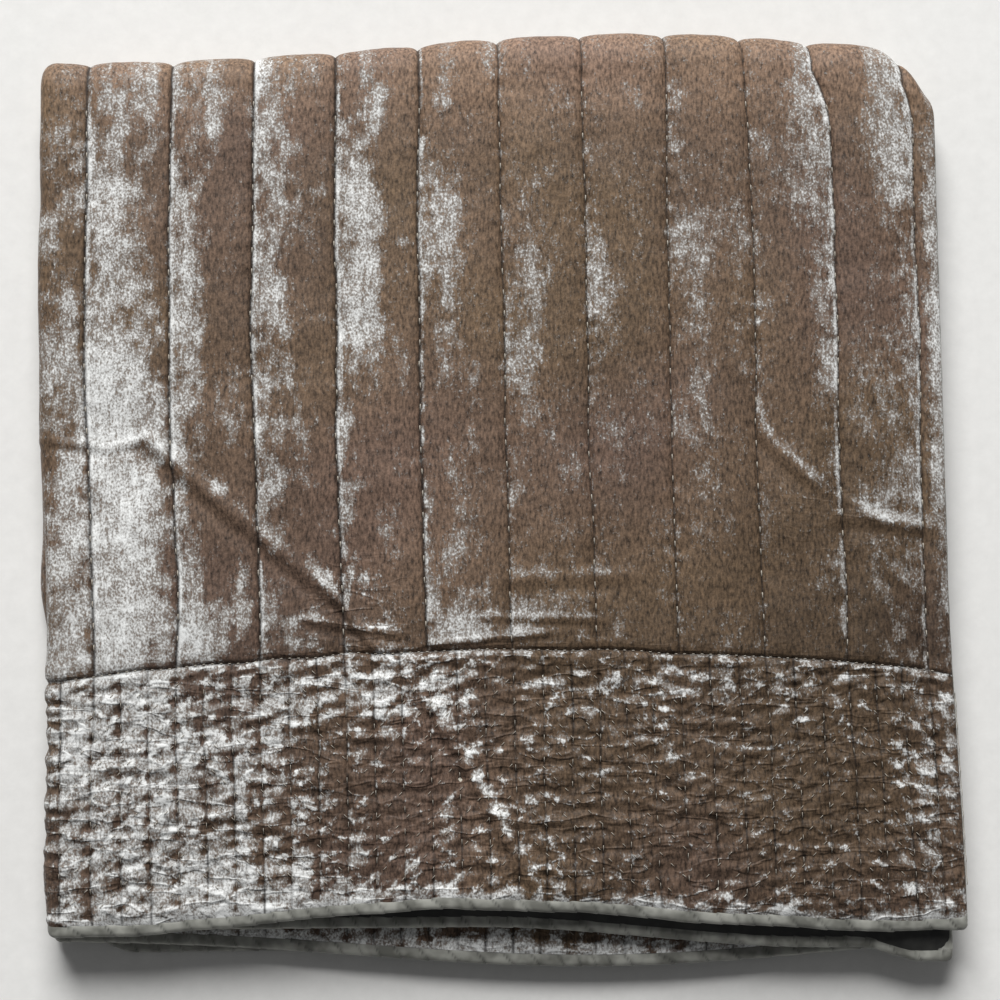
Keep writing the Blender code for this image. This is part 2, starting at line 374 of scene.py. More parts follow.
# Creases that folding pressed into the top layer: start, end, width and height in metres
CREASES = (
    ((-0.215, 0.034), (-0.182, 0.004), 0.0052, 0.0024),
    ((-0.182, 0.004), (-0.149, -0.024), 0.0046, 0.0022),
    ((-0.149, -0.024), (-0.097, -0.068), 0.0042, 0.0018),
    ((-0.278, 0.034), (-0.240, 0.028), 0.0026, 0.0007),
    ((-0.240, 0.027), (-0.212, 0.034), 0.0028, 0.0007),
    ((-0.110, -0.052), (-0.072, -0.100), 0.0026, 0.0018),
    ((-0.120, -0.078), (-0.060, -0.088), 0.0024, 0.0014),
    ((-0.088, -0.048), (-0.094, -0.098), 0.0024, 0.0013),
    ((-0.044, -0.094), (0.030, -0.088), 0.0020, 0.0009),
    ((-0.010, -0.078), (0.062, -0.080), 0.0020, 0.0008),
    ((0.148, 0.075), (0.163, 0.030), 0.0034, 0.0013),
    ((0.163, 0.030), (0.194, 0.000), 0.0036, 0.0014),
    ((0.205, -0.004), (0.236, -0.024), 0.0036, 0.0006),
    ((0.206, -0.018), (0.264, -0.026), 0.0044, 0.0012),
    ((0.236, -0.052), (0.250, -0.064), 0.0026, 0.0009),
    ((-0.002, -0.055), (0.083, -0.053), 0.0040, 0.0006),
    ((-0.045, -0.125), (-0.013, -0.182), 0.0040, 0.0017),
    ((-0.013, -0.182), (0.018, -0.238), 0.0040, 0.0016),
    ((0.096, -0.166), (0.150, -0.214), 0.0040, 0.0008),
)


def creases(layer, x, y):
    """Height of a layer's soft folds, three noises, and on the top layer of its pressed creases,
    each a bell across its line less 0.7 of a bell beside it."""
    total = 0.0008 * cloth_noise(x, y, 0.045, 0.030, 31 + layer)
    total = total + 0.0005 * cloth_noise(x, y, 0.013, 0.019, 35 + layer)
    total = total + 0.00022 * cloth_noise(x + 0.5 * y, y - 0.5 * x, 0.0050, 0.0090, 39 + layer)
    if layer == 3:
        for start, end, width, height in CREASES:
            off, fade = beside_segment(x, y, start, end)
            ridge = bump(off, 0, width) - 0.7 * bump(off, -1.7 * width, width)
            total = total + height * fade * ridge
    return total


def row_dip(row, from_seam):
    """Dip of the rows alone: a trough that grows with the square of the distance from the middle
    between two rows, and an exponential groove at each row and at the border seam."""
    off = np.abs(beside_row(row, PITCH))
    field = 0.0018 * (2 * (row - np.floor(row)) - 1) ** 2 + 0.0015 * np.exp(-off / 0.0016)
    close = row * ROWS_ACROSS
    off = np.abs(beside_row(close, CLOSE_PITCH))
    tight = 0.5 + 0.5 * cloth_noise(np.round(close), from_seam, 1.0, 0.035, 57)
    border = 0.0003 * (2 * (close - np.floor(close)) - 1) ** 2 + 0.0013 * tight * np.exp(-off / 0.0014)
    seam = 0.0022 * np.exp(-np.abs(from_seam) / 0.0016)
    return np.where(from_seam < 0, border, field) + seam


def quilting_dip(layer, row, x, y, from_seam):
    """How far the stitches hold the velvet down: the rows' dip, an exponential or bell pinch at
    each stitch, and noise for the puckers between."""
    off = np.abs(beside_row(row, PITCH))
    field = 0.0007 * np.exp(-off / 0.0035) * stitch_beat(row, y, ROW_STITCH)
    field = field + 0.00035 * np.exp(-off / 0.008) * cloth_noise(x, y, 0.010, 0.0045, 51 + layer)

    close = row * ROWS_ACROSS
    off = beside_row(close, CLOSE_PITCH)
    hold = 0.65 + 0.35 * cloth_noise(x, y, 0.03, 0.02, 61 + layer)
    border = 0.0015 * hold * np.exp(-((off / 0.0028) ** 2)) * stitch_beat(close, y, ROW_STITCH) ** 4
    slant = (y - slant_offset(x)) / SLANT_SPACING
    off = np.abs(beside_row(slant, SLANT_SPACING)) / SLANT_RUN
    slant_beat = 0.5 + 0.5 * stitch_beat(slant, x * SLANT_RUN, SLANT_STITCH)
    border = border + 0.0008 * np.exp(-off / 0.0016) * slant_beat
    pucker = cloth_noise(x + 0.3 * y, y, 0.0150, 0.0058, 71 + layer)
    pucker = pucker + 0.7 * cloth_noise(x - 0.2 * y, y, 0.0085, 0.0036, 75 + layer)
    border = border - 0.00095 * pucker

    lip = -0.0006 * bump(from_seam, -0.0045, 0.0030) * (1 + 0.9 * line_noise(x, 0.009, 83))
    shirred = 0.0006 * np.exp(-np.abs(from_seam) / 0.012) * cloth_noise(x, y, 0.007, 0.016, 81 + layer)
    return row_dip(row, from_seam) + np.where(from_seam < 0, border, field) + lip + shirred


WADDING_CLEAR = 0.0022  # room the wadding leaves under the velvet
WADDING_LEAST = 0.0003  # half thickness where the stitches press it flat


def face(layer, across, along, share):
    """Position of a cloth face of a layer, and its distance beyond the border seam: its height is
    the layer's middle plus a share of the half thickness, less the quilting's dip. The share is 1
    at the velvet, -1 at the backing and 0.6 or -0.6 at the two faces of the wadding."""
    row = row_number(across)
    x, y, inward, from_seam = spread(layer, across, along)
    drift = wander(row, y, across)
    ease = smoothstep((inward - BINDING) / 0.006) * smoothstep((right_edge(layer, y) - x - 0.001) / 0.008)
    half_thickness = loft(layer, x, y, inward)
    if share == 1:
        dip = quilting_dip(layer, row, x + drift, y, from_seam) - creases(layer, x + drift, y)
        half_thickness = np.maximum(half_thickness - ease * dip, 0.15 * half_thickness)
    elif share == -1:
        half_thickness = -(half_thickness - 0.7 * ease * row_dip(row, from_seam))
    else:
        room = half_thickness - ease * row_dip(row, from_seam) - WADDING_CLEAR
        half_thickness = share * np.maximum(room, WADDING_LEAST)
    z = middle_height(layer, x, y, inward) + velvet_way(layer) * half_thickness
    return x + drift, y, np.maximum(z, FLOOR_GAP), from_seam


# ------------------------------------
# Crushed silk velvet. The taupe pile is brown where it stands or leans away. A painted sheen makes it
# silver-white where crushing has laid it, in soft patches and streaks, with painted highlights on
# slopes and creases that face the light and a rim beside the rows.
# painted sheen: crushed patches where the laid pile is painted silver
SHEEN_PATCHES = (
    # middle x, middle y, reach x, reach y, how far the pile is laid over (its painted sheen)
    (-0.228, -0.030, 0.032, 0.080, 1.15), (-0.262, 0.080, 0.020, 0.170, 0.40),
    (-0.226, 0.080, 0.026, 0.060, 0.80), (-0.235, 0.195, 0.026, 0.045, 0.45),
    (-0.190, 0.255, 0.100, 0.012, 0.30), (-0.188, 0.105, 0.014, 0.050, 0.38),
    (-0.178, 0.190, 0.016, 0.045, -0.10), (-0.136, 0.130, 0.012, 0.130, 0.42),
    (-0.082, 0.125, 0.016, 0.085, 0.66), (-0.030, 0.140, 0.016, 0.080, 0.25),
    (0.016, 0.110, 0.014, 0.070, 0.42), (0.062, 0.105, 0.012, 0.050, 0.40),
    (0.125, 0.155, 0.018, 0.018, 0.55), (0.125, 0.090, 0.010, 0.060, 0.30),
    (0.150, 0.110, 0.008, 0.060, 0.26), (0.194, 0.225, 0.012, 0.050, 0.50),
    (0.200, 0.100, 0.007, 0.070, 0.30), (0.245, 0.220, 0.014, 0.050, 0.46),
    (0.273, 0.120, 0.008, 0.140, 0.65), (0.245, 0.000, 0.026, 0.020, 0.40),
    (0.225, 0.060, 0.012, 0.040, 0.40), (-0.170, -0.080, 0.060, 0.014, 0.40),
    (-0.172, -0.035, 0.014, 0.045, -0.40), (-0.156, -0.045, 0.007, 0.018, 0.55),
    (-0.148, -0.020, 0.010, 0.020, 0.50), (-0.030, -0.060, 0.016, 0.040, 0.45),
    (0.010, -0.080, 0.050, 0.016, 0.40), (-0.245, -0.180, 0.060, 0.075, 0.90),
    (-0.165, -0.170, 0.060, 0.070, 0.50), (-0.160, -0.240, 0.100, 0.022, 0.60),
    (-0.080, -0.122, 0.060, 0.020, 0.65), (-0.060, -0.190, 0.035, 0.035, -0.30),
    (0.100, -0.120, 0.080, 0.012, 0.40), (0.260, -0.200, 0.012, 0.070, 0.35),
)


CREASE_GLOSS = 230  # painted highlight and shade beside a crease: lean of the pile for each metre of its height


def pile_sheen(layer, x, y):
    """Painted sheen where the pile is laid towards the light at a place: streaks of noise, and on the top
    layer a product of two bells for each crushed patch and a pair of bells along each crease, a painted
    highlight on one side less painted shade on the other."""
    streaks = 0.30 * cloth_noise(x, y, 0.013, 0.034, 91 + layer)
    streaks = streaks + 0.26 * cloth_noise(x, y, 0.0050, 0.0150, 95 + layer)
    streaks = streaks + 0.22 * cloth_noise(x, y, 0.0095, 0.0080, 97 + layer)
    if layer != 3:
        return 0.12 + 0.25 * cloth_noise(x, y, 0.06, 0.08, 99 + layer) + streaks
    lean = -0.08 + streaks * (0.62 + 0.55 * smoothstep((0.06 - x) / 0.15))
    for middle_x, middle_y, reach_x, reach_y, laid in SHEEN_PATCHES:
        lean = lean + laid * bump(x, middle_x, reach_x) * bump(y, middle_y, reach_y)
    # painted highlight on one side of each crease, painted shade on the other
    for start, end, width, height in CREASES:
        off, fade = beside_segment(x, y, start, end)
        patchy = 1 + 0.8 * cloth_noise(x, y, 0.012, 0.012, 103)
        lit = patchy * bump(off, width, width) - bump(off, -1.5 * width, 1.6 * width)
        lean = lean + CREASE_GLOSS * height * fade * lit
    return lean - 0.10 * smoothstep((x + 0.05) / 0.08) * smoothstep((-0.11 - y) / 0.03)


def pile_tone_and_light(x, y):
    """Brightness of the brown pile, partly painted light: smooth steps up to the back, painted lighter
    where the cloth turns towards the light behind, and a bell each way, with a tenth of noise for its
    own uneven colour."""
    tone_and_light = 0.60 + 0.20 * smoothstep((y + 0.10) / 0.06) + 0.55 * smoothstep((y - 0.20) / 0.075)
    tone_and_light = tone_and_light - 0.22 * bump(x, 0.24, 0.08) * bump(y, -0.05, 0.07) + 0.12 * bump(x, -0.03, 0.06)
    return tone_and_light * (1 + 0.10 * cloth_noise(x, y, 0.03, 0.05, 105))


def crinkle_of(x, y, from_seam):
    """Share of fine sharp wrinkles: 1 in the border, and in the field a bell by each of two creases
    and an exponential from the seam."""
    field = 0.5 * np.exp(-np.abs(from_seam) / 0.008)
    field = field + 0.9 * bump(x, -0.088, 0.030) * bump(y, -0.072, 0.028)
    field = field + 0.4 * bump(x, 0.21, 0.05) * bump(y, -0.02, 0.03)
    return np.clip(np.where(from_seam < 0, 1.0, field), 0, 1)


def slopes(x, y, z):
    """Rise of a grid towards +X and +Y, solved from the steps of its two directions."""
    xu, xv = np.gradient(x)
    yu, yv = np.gradient(y)
    zu, zv = np.gradient(z)
    area = xu * yv - xv * yu
    area = np.where(np.abs(area) < 1e-12, 1e-12, area)
    return (zu * yv - zv * yu) / area, (zv * xu - zu * xv) / area


def rim_highlight(across, x, from_seam):
    """A painted highlight, a bright rim beside each long row where the cloth rises towards the light: a
    bell 1.6 mm to its right, or to its left past x = 0.17, broken by noise, and faint in the middle of
    the throw."""
    row = row_number(across)
    beside = beside_row(row, PITCH) * np.where(x < 0.17, 1, -1)
    whole = 0.30 + 0.5 * smoothstep((x - 0.15) / 0.03)
    broken = np.clip(whole + 1.1 * cloth_noise(np.round(row), from_seam, 1.0, 0.007, 109), 0, 1.3)
    at_right = smoothstep((x - 0.17) / 0.02) * (0.2 + 0.8 * smoothstep((from_seam - 0.085) / 0.02))
    strength = 0.25 + 0.75 * smoothstep((0.02 - x) / 0.1) + 0.75 * at_right
    return np.where(from_seam < 0, 0.0, strength * broken * bump(beside, 0.0016, 0.0011))


def border_pinch(across, y, from_seam):
    """A bell across each close row times the cube of its stitch beat: 1 at the border's dimples."""
    close = row_number(across) * ROWS_ACROSS
    dimples = bump(beside_row(close, CLOSE_PITCH), 0, 0.0036) * stitch_beat(close, y, ROW_STITCH) ** 3
    return np.where(from_seam < 0, dimples, 0.0)


def painted_sheen_of(layer, across, x, y, z, from_seam):
    """Painted sheen of the velvet: the pile's lean, plus 1.4 of the rise to the right as a painted
    highlight where the cloth faces the light, less the rise to the back as painted shade, plus the
    painted highlights along the front edge and the rims, less painted shade in the dimples. What is
    over a half counts for 0.4."""
    rise_x, rise_y = slopes(x, y, velvet_way(layer) * z)
    towards = 0.25 + 1.1 * smoothstep((0.05 - x) / 0.20) - 1.2 * smoothstep((x - 0.17) / 0.05)
    ragged = 0.65 + 0.6 * cloth_noise(x, y, 0.0055, 0.0100, 119)
    patchy = 0.9 + 0.8 * cloth_noise(x, y, 0.020, 0.014, 121)
    slack = 1.0 + 0.4 * smoothstep((0.08 - x) / 0.12) - 0.6 * smoothstep((-0.10 - x) / 0.12)
    steep = np.where(from_seam < 0, patchy * slack, 1.0)
    # painted highlight and shade from the slopes: silver where the cloth faces the light, browner where
    # it faces away
    slope_light = towards * np.clip(rise_x, -0.28, 0.45) * 1.4 * ragged - np.clip(rise_y, -0.3, 0.3) * steep
    inward = y - front_edge(layer, x) - BINDING
    # painted highlight: a bright fringe where the pile stands out beside the front tape
    fringe_highlight = 1.7 * np.exp(-np.maximum(inward, 0) / 0.0050)
    fringe_highlight = fringe_highlight * (0.8 + 0.5 * cloth_noise(x, y, 0.006, 0.02, 117))
    # painted shade: the border's dimples are made browner
    dimple_shade = 0.95 * border_pinch(across, y, from_seam)
    laid = pile_sheen(layer, x, y) + slope_light + fringe_highlight - dimple_shade + rim_highlight(across, x, from_seam)
    return np.minimum(laid, 0.50 + 0.40 * (laid - 0.50))


def seam_shade(across, from_seam):
    """1 in the stitched grooves, where no light falls: a bell across each row and the border seam,
    broken by noise in the border."""
    row = row_number(across)
    field = bump(beside_row(row, PITCH), 0, 0.0005 + 0.0005 * smoothstep((5.5 - row) / 2))
    close = row * ROWS_ACROSS
    border = bump(beside_row(close, CLOSE_PITCH), 0, 0.0008)
    border = border * np.clip(0.62 + 0.6 * cloth_noise(np.round(close), from_seam, 1.0, 0.010, 107), 0, 1)
    joined = 0.70 + 0.30 * line_noise(row, 0.3, 113)
    return np.maximum(np.where(from_seam < 0, border, field), joined * bump(from_seam, 0, 0.0010))


def velvet_finish():
    """Principled velvet from the cloth's own values (painted sheen, the painted shade of the seams,
    painted light with the pile's brightness, and crinkle), and its grain.
    """
    material, tree, shader = new_material("crushed_silk_velvet")
    place = add_node(tree, "TexCoord", out="Object")
    painted_sheen, seam, tone_and_light, crinkle = [
        add_node(tree, "Attribute", {"attribute_name": name}, "Fac")
        for name in ("painted_sheen", "seam", "tone_and_light", "crinkle")
    ]

    def noise(scale, detail, roughness=0.5, distortion=0.0):
        """Noise in object space at a scale (x, y, z) in cells to the metre."""
        spread_out = add_node(tree, "Mapping", Vector=place, Scale=scale)
        return add_node(tree, "TexNoise", Vector=spread_out, Scale=1.0, Detail=detail,
                        Roughness=roughness, Distortion=distortion)

    def remap(value, low, high, to_low=0.0, to_high=1.0, kind="LINEAR"):
        """Value from low..high to to_low..to_high, held at the ends."""
        return add_node(tree, "MapRange", {"interpolation_type": kind}, Value=value,
                        From_Min=low, From_Max=high, To_Min=to_low, To_Max=to_high)

    def math_node(operation, *values):
        """One Math node."""
        inputs = {f"_{k}": value for k, value in enumerate(values)}
        return add_node(tree, "Math", {"operation": operation}, **inputs)

    def fine_lines(noise_value, width):
        """1 where a noise crosses its middle, falling smoothly to 0 a width away from it."""
        off = math_node("ABSOLUTE", math_node("SUBTRACT", noise_value, 0.5))
        return math_node("MULTIPLY", remap(off, 0.0, width, 1.0, 0.0, "SMOOTHSTEP"), crinkle)

    def scaled(colour, factor):
        """A colour times a factor."""
        return add_node(tree, "VectorMath", {"operation": "SCALE"}, _0=colour, _3=factor)

    # pile tufts of 1.2 mm, coarser than real ones so that they show
    tufts = noise((840.0, 640.0, 840.0), 1.0, 0.5)
    # standing fibres, 1.5 mm by 4 mm
    fibres = noise((640.0, 240.0, 640.0), 2.0, 0.6)
    # brushed streaks along the rows, 2 mm by 9 mm, and clumps, 4 mm by 6 mm
    streaks = noise((430.0, 110.0, 430.0), 3.0, 0.6)
    clumps = noise((230.0, 180.0, 230.0), 3.0, 0.6)
    # sharp wrinkles: broad ridges, mostly across the throw, whose crests get a painted highlight, and
    # narrow valleys of painted shade
    ridge = fine_lines(noise((34.0, 96.0, 50.0), 2.0, 0.5, 0.3), 0.080)
    valley_shade = fine_lines(noise((75.0, 66.0, 60.0), 2.0, 0.5, 0.6), 0.018)

    # painted sheen: the silver share grows with the painted sheen values, streaks, clumps and tufts
    brushed = math_node("MULTIPLY_ADD", streaks, 0.9, painted_sheen)
    brushed = math_node("MULTIPLY_ADD", clumps, 0.9, brushed)
    laid = math_node("MULTIPLY_ADD", tufts, 1.7, brushed)
    # painted highlight: the wrinkles' crests are made more silver
    crest_highlight = math_node("MULTIPLY", ridge, remap(clumps, 0.42, 0.62, 0.1, 1.0))
    laid = math_node("MULTIPLY_ADD", crest_highlight, 0.65, laid)
    share = remap(laid, 1.84, 2.54, kind="SMOOTHSTEP")
    glint = remap(laid, 2.15, 2.95)

    # standing pile: cool to olive brown
    warm = noise((7.0, 7.0, 7.0), 1.0)
    standing = mix_colours(tree, remap(warm, 0.35, 0.65), linear("#6c574a"), linear("#6d5945"))
    speck = math_node("MULTIPLY", remap(fibres, 0.25, 0.75, 0.22, 1.90), tone_and_light)
    standing = scaled(standing, speck)
    # painted soft sheen: half-laid pile between the silver tufts is a warm grey
    soft_sheen = remap(brushed, 0.96, 1.55, 0.0, 0.80, "SMOOTHSTEP")
    standing = mix_colours(tree, soft_sheen, standing, linear("#8a8077"))
    # painted sheen: the laid pile's silver, grey to near white as the glint rises
    silver_sheen = mix_colours(tree, glint, linear("#9c9995"), linear("#f8f9f7"))
    # the painted silver sheen is dulled by the same painted light gradient as the standing pile, most in
    # the puckered border
    silver_sheen = scaled(silver_sheen, remap(tone_and_light, 0.60, 0.80, 0.80, 1.0))
    pile = mix_colours(tree, share, standing, silver_sheen)
    # painted shade: the stitched grooves (the seam values) and the wrinkles' valleys go towards near
    # black
    shade = math_node("MAXIMUM", math_node("MULTIPLY", seam, 0.90), math_node("MULTIPLY", valley_shade, 0.40))
    sewn = mix_colours(tree, shade, pile, linear("#140e0b"))
    wrinkled = add_node(tree, "Bump", Height=ridge, Strength=0.40, Distance=0.0014)
    tufted = add_node(tree, "Bump", Height=tufts, Strength=0.4, Distance=0.0006, Normal=wrinkled)
    set_inputs(tree, shader, Base_Color=sewn, Roughness=0.62, Specular_IOR_Level=0.25,
               Sheen_Weight=0.12, Sheen_Roughness=0.4, Normal=tufted)
    return material


velvet = velvet_finish()


def grid_quads(index):
    """The quads of a grid of point numbers, one between each four neighbours."""
    corners = (index[:-1, :-1], index[1:, :-1], index[1:, 1:], index[:-1, 1:])
    return np.stack([corner.ravel() for corner in corners], axis=-1)


def new_piece(name, points, quads, material, values=None):
    """A smooth-shaded piece from points, quads and named values of the points."""
    mesh = bpy.data.meshes.new(name)
    mesh.vertices.add(len(points))
    mesh.vertices.foreach_set("co", points.astype(np.float32).ravel())
    mesh.loops.add(quads.size)
    mesh.loops.foreach_set("vertex_index", quads.astype(np.int32).ravel())
    mesh.polygons.add(len(quads))
    mesh.polygons.foreach_set("loop_start", np.arange(len(quads), dtype=np.int32) * 4)
    mesh.update(calc_edges=True)
    mesh.validate()
    mesh.shade_smooth()
    for key, value in (values or {}).items():
        attribute = mesh.attributes.new(key, "FLOAT", "POINT")
        attribute.data.foreach_set("value", value.astype(np.float32).ravel())
    mesh.materials.append(material)
    return placed(name, mesh)


def grid_piece(name, grid, material, values=None, turned=False):
    """A single sheet of cloth from a grid of x, y and z."""
    points = np.stack(grid, axis=-1).reshape(-1, 3)
    quads = grid_quads(np.arange(len(points)).reshape(grid[0].shape))
    return new_piece(name, points, quads[:, ::-1] if turned else quads, material, values)


def row_stations(rows, step, first_step=0.0005):
    """Shares of the width from right to left, closest beside each of the evenly spaced rows: each
    gap is the first step plus 0.35 of the distance from the row, at most the step."""
    spacing = PITCH / rows
    away = [0.0]
    while (further := away[-1] + min(step, first_step + 0.35 * away[-1])) < spacing / 2:
        away.append(further)
    offsets = np.concatenate([-np.array(away[1:]), away, [spacing / 2]]) / PITCH
    first = math.floor(row_number(0.0) * rows) - 1
    last = math.ceil(row_number(1.0) * rows) + 1
    centres = np.arange(first, last + 1) / rows
    shares = np.sort(share_across((centres[:, None] + offsets).ravel()))
    rim = 1 - np.array([0.0004, 0.0009, 0.0018, 0.0032]) / (2 * HALF_WIDTH)
    inner = shares[(shares > 0.001) & (shares < rim[-1] - 0.0012)]
    return np.concatenate([rim, inner[::-1], [0.0]])


def round_fold(high, low, turns, axis):
    """Half an ellipse from high points to the low points under them: with t from 0 to pi, their
    middle plus cos(t) of half their difference, plus sin(t) of half their height along the axis."""
    turns = turns[:, None]
    reach = np.abs(high[2] - low[2]) / 2
    return [
        (high[k] + low[k]) / 2 + (high[k] - low[k]) / 2 * np.cos(turns) + axis[k] * reach * np.sin(turns)
        for k in range(3)
    ]


SIDE_TURNS = np.linspace(0, math.pi, 15)[1:-1]
SIDEWAYS = (-1, 0, 0)


def round_side(over, below):
    """A cloth's grid, from its points on the top layer round the side fold to those below."""
    fold = round_fold([axis[-1] for axis in over], [axis[0] for axis in below], SIDE_TURNS, SIDEWAYS)
    return [np.concatenate(parts) for parts in zip(over[:3], fold, below[:3])]


def wrapped(top, under, across_top, across_under, along, share):
    """One face of a folded half: its top layer, its under layer, and both as one grid."""
    over = face(top, *np.meshgrid(across_top, along, indexing="ij"), share)
    below = face(under, *np.meshgrid(across_under[::-1], along, indexing="ij"), share)
    return over, below, round_side(over, below)


def wrapped_velvet(top, under, across_top, across_under, along):
    """The velvet of a folded half: its grid, and the values its shader reads at each point, which
    go over from layer to layer by (1 + cos(t)) / 2 round the side fold."""
    over, below, grid = wrapped(top, under, across_top, across_under, along, 1)
    upper, lower = [
        {
            # the values are the painted sheen, the painted shade of the grooves (seam), the brightness
            # with its painted light gradient, and the wrinkles' share
            "painted_sheen": painted_sheen_of(layer, across[:, None], *side),
            "seam": seam_shade(across[:, None], side[3]),
            "tone_and_light": pile_tone_and_light(*side[:2]),
            "crinkle": crinkle_of(side[0], side[1], side[3]),
        }
        for layer, across, side in ((top, across_top, over), (under, across_under[::-1], below))
    ]
    turning = (0.5 + 0.5 * np.cos(SIDE_TURNS))[:, None]
    values = {}
    for key, first in upper.items():
        last = lower[key]
        values[key] = np.concatenate([first, first[-1] * turning + last[0] * (1 - turning), last])
    return grid, values


def along_stations(start, end, count, extra=()):
    """Evenly spaced shares of the length, and extra ones."""
    return np.unique(np.concatenate([np.linspace(start, end, count), extra]))


UNDER_TAPE = 0.0015  # how far the velvet runs in under the binding
NEAR_FOLD = 0.9993  # share of the length at the last station before the end fold
VELVET_START = (BINDING - UNDER_TAPE) / BORDER_LENGTH * BORDER
CLOTH_WIDTH = 2 * (2 * HALF_WIDTH)
LENGTH = HINGE_Y - cad_low.y
FIELD_SHARE = 0.70  # of the length, as a flat size
FINE_ROWS, FINE_CLOSE = row_stations(1, 0.0030), row_stations(ROWS_ACROSS, 0.0016)
COARSE_ROWS, COARSE_CLOSE = row_stations(1, 0.0080, 0.0008), row_stations(ROWS_ACROSS, 0.0050, 0.0016)


def folded_sheet(piece, part, node):
    """A half's cloth follows that half's body; the end fold's cloth is baked in place."""
    if part == "fold":
        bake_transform(piece)
    else:
        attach(piece, f"{part}_half")
    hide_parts(f"{part}_{node}")


for half_name, top, under in HALVES:
    # the top layer is seen, so it is finer
    if top == 3:
        top_rows, top_close, count = FINE_ROWS, FINE_CLOSE, 180
    else:
        top_rows, top_close, count = COARSE_ROWS, COARSE_CLOSE, 90
    seam_steps = np.array([0.0015, 0.003, 0.0055]) / FIELD_LENGTH
    field_along = along_stations(BORDER, 1.0, count, [*(BORDER + seam_steps), NEAR_FOLD])
    border_along = along_stations(VELVET_START, BORDER, count * 2 // 3, BORDER - seam_steps)
    for part, rows, under_rows, along, share in (
        ("velvet_field", top_rows, COARSE_ROWS, field_along, FIELD_SHARE),
        ("velvet_border", top_close, COARSE_CLOSE, border_along, 1 - FIELD_SHARE),
    ):
        grid, values = wrapped_velvet(top, under, rows, under_rows, along)
        piece = grid_piece(f"{half_name}_{part}_cloth", grid, velvet, values, turned=True)
        flat = (CLOTH_WIDTH, share * LENGTH)
        folded_sheet(piece, half_name, part)


# ------------------------------------
# Velvet of the end fold, where both halves turn over together at the back: the profile of the
# foot half on the fold line is swept half a turn down to the profile of the head half.
BACKWARDS = (0, 1, 0)
FIRST_TURN = 0.012  # close after the flat cloth, so that the shading runs on
END_TURNS = np.concatenate([[FIRST_TURN], np.linspace(0, math.pi, 30)[1:-1], [math.pi - FIRST_TURN]])
FOLD_LINE = np.array([NEAR_FOLD, 1.0])


def swept_round(upper, lower):
    """A cloth's grid round the end fold, from its profile on the upper half to the lower half's: a
    half ellipse drawn out backwards by 2.5 mm, and by 5.5 mm right of the middle."""
    bend = round_fold(upper, lower, END_TURNS, BACKWARDS)
    bend[1] = bend[1] + (0.0025 + 0.003 * bump(bend[0], 0.08, 0.17)) * np.sin(END_TURNS[:, None])
    return [np.concatenate([upper[k][None], bend[k], lower[k][None]]) for k in range(3)]


upper, upper_values = wrapped_velvet(3, 2, FINE_ROWS, COARSE_ROWS, FOLD_LINE)
lower, lower_values = wrapped_velvet(0, 1, FINE_ROWS, COARSE_ROWS, FOLD_LINE)
turning = (0.5 + 0.5 * np.cos(np.concatenate([[0], END_TURNS, [math.pi]])))[:, None]
values = {
    key: upper_values[key][:, 1] * turning + lower_values[key][:, 1] * (1 - turning)
    for key in upper_values
}
grid = swept_round([axis[:, 1] for axis in upper], [axis[:, 1] for axis in lower])
piece = grid_piece("fold_velvet_cloth", grid, velvet, values)
folded_sheet(piece, "fold", "velvet")


# ------------------------------------
# Stitching in tan cotton thread: a running stitch shows for a third of its pitch on the velvet
# and dives to the backing between. The seam of the border band has shorter, closer stitches.
thread_cotton = grained_material("tan_sewing_cotton", "#6e665d", "#cdc6b8", 0.7, Scale=900.0)

# place along a stitch, height over the face, and which face: the velvet (1) or the backing (-1)
STITCH = (
    (0.00, 0.0000, -1), (0.05, 0.0003, 1), (0.18, 0.0009, 1),
    (0.31, 0.0003, 1), (0.36, 0.0000, -1), (0.68, 0.0002, -1),
)
CHANNEL_THREAD, BORDER_THREAD, SEAM_THREAD = 0.00042, 0.00022, 0.0003    # radii
SEAM_STITCH = 0.0052


def sewn_path(layer, across, along, row, distance, pitch):
    """A running stitch along a line of shares (across, along) whose lengths are the distances."""
    first = math.ceil(stitch_phase(row, distance[0], pitch))
    last = math.floor(stitch_phase(row, distance[-1], pitch))
    places, heights, sides = np.array(STITCH).T
    wanted = (np.arange(first, last)[:, None] + places).ravel() - stitch_phase(row, 0.0, pitch)
    a = np.interp(wanted * pitch, distance, across)
    b = np.interp(wanted * pitch, distance, along)
    heights, sides = np.tile(heights, last - first), np.tile(sides, last - first)
    over, below = face(layer, a, b, 1), face(layer, a, b, -1)
    up = velvet_way(layer)
    z = np.where(sides == 1, over[2] + up * heights, below[2] - up * heights)
    return np.stack([over[0], over[1], z], axis=-1)


def thread_piece(half_name, name, node, paths, radius):
    """Four-sided thread along each path of a half, with an end cap at both of its ends."""
    points, quads, count = [], [], 0
    for path in paths:
        if len(path) < 2:
            continue
        tangent = np.gradient(path, axis=0)
        tangent = tangent / np.linalg.norm(tangent, axis=1, keepdims=True)
        run = path[-1] - path[0]
        side = np.array([-run[1], run[0], 0.0]) / np.hypot(run[0], run[1])
        normal = np.cross(tangent, side)
        angles = np.arange(4) * math.pi / 2
        ring = np.cos(angles)[None, :, None] * side - np.sin(angles)[None, :, None] * normal[:, None]
        path[:, 2] = np.maximum(path[:, 2], radius)
        points.append((path[:, None] + radius * ring).reshape(-1, 3))
        index = count + np.arange(len(path) * 4).reshape(-1, 4)
        quads.append(grid_quads(np.concatenate([index, index[:, :1]], axis=1)))
        quads.append(np.array([index[0][::-1], index[-1]]))
        count += len(path) * 4
    points, quads = np.concatenate(points), np.concatenate(quads)
    piece = new_piece(f"{half_name}_{name}", points, quads, thread_cotton)
    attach(piece, f"{half_name}_half")
    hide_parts(f"{half_name}_{node}")


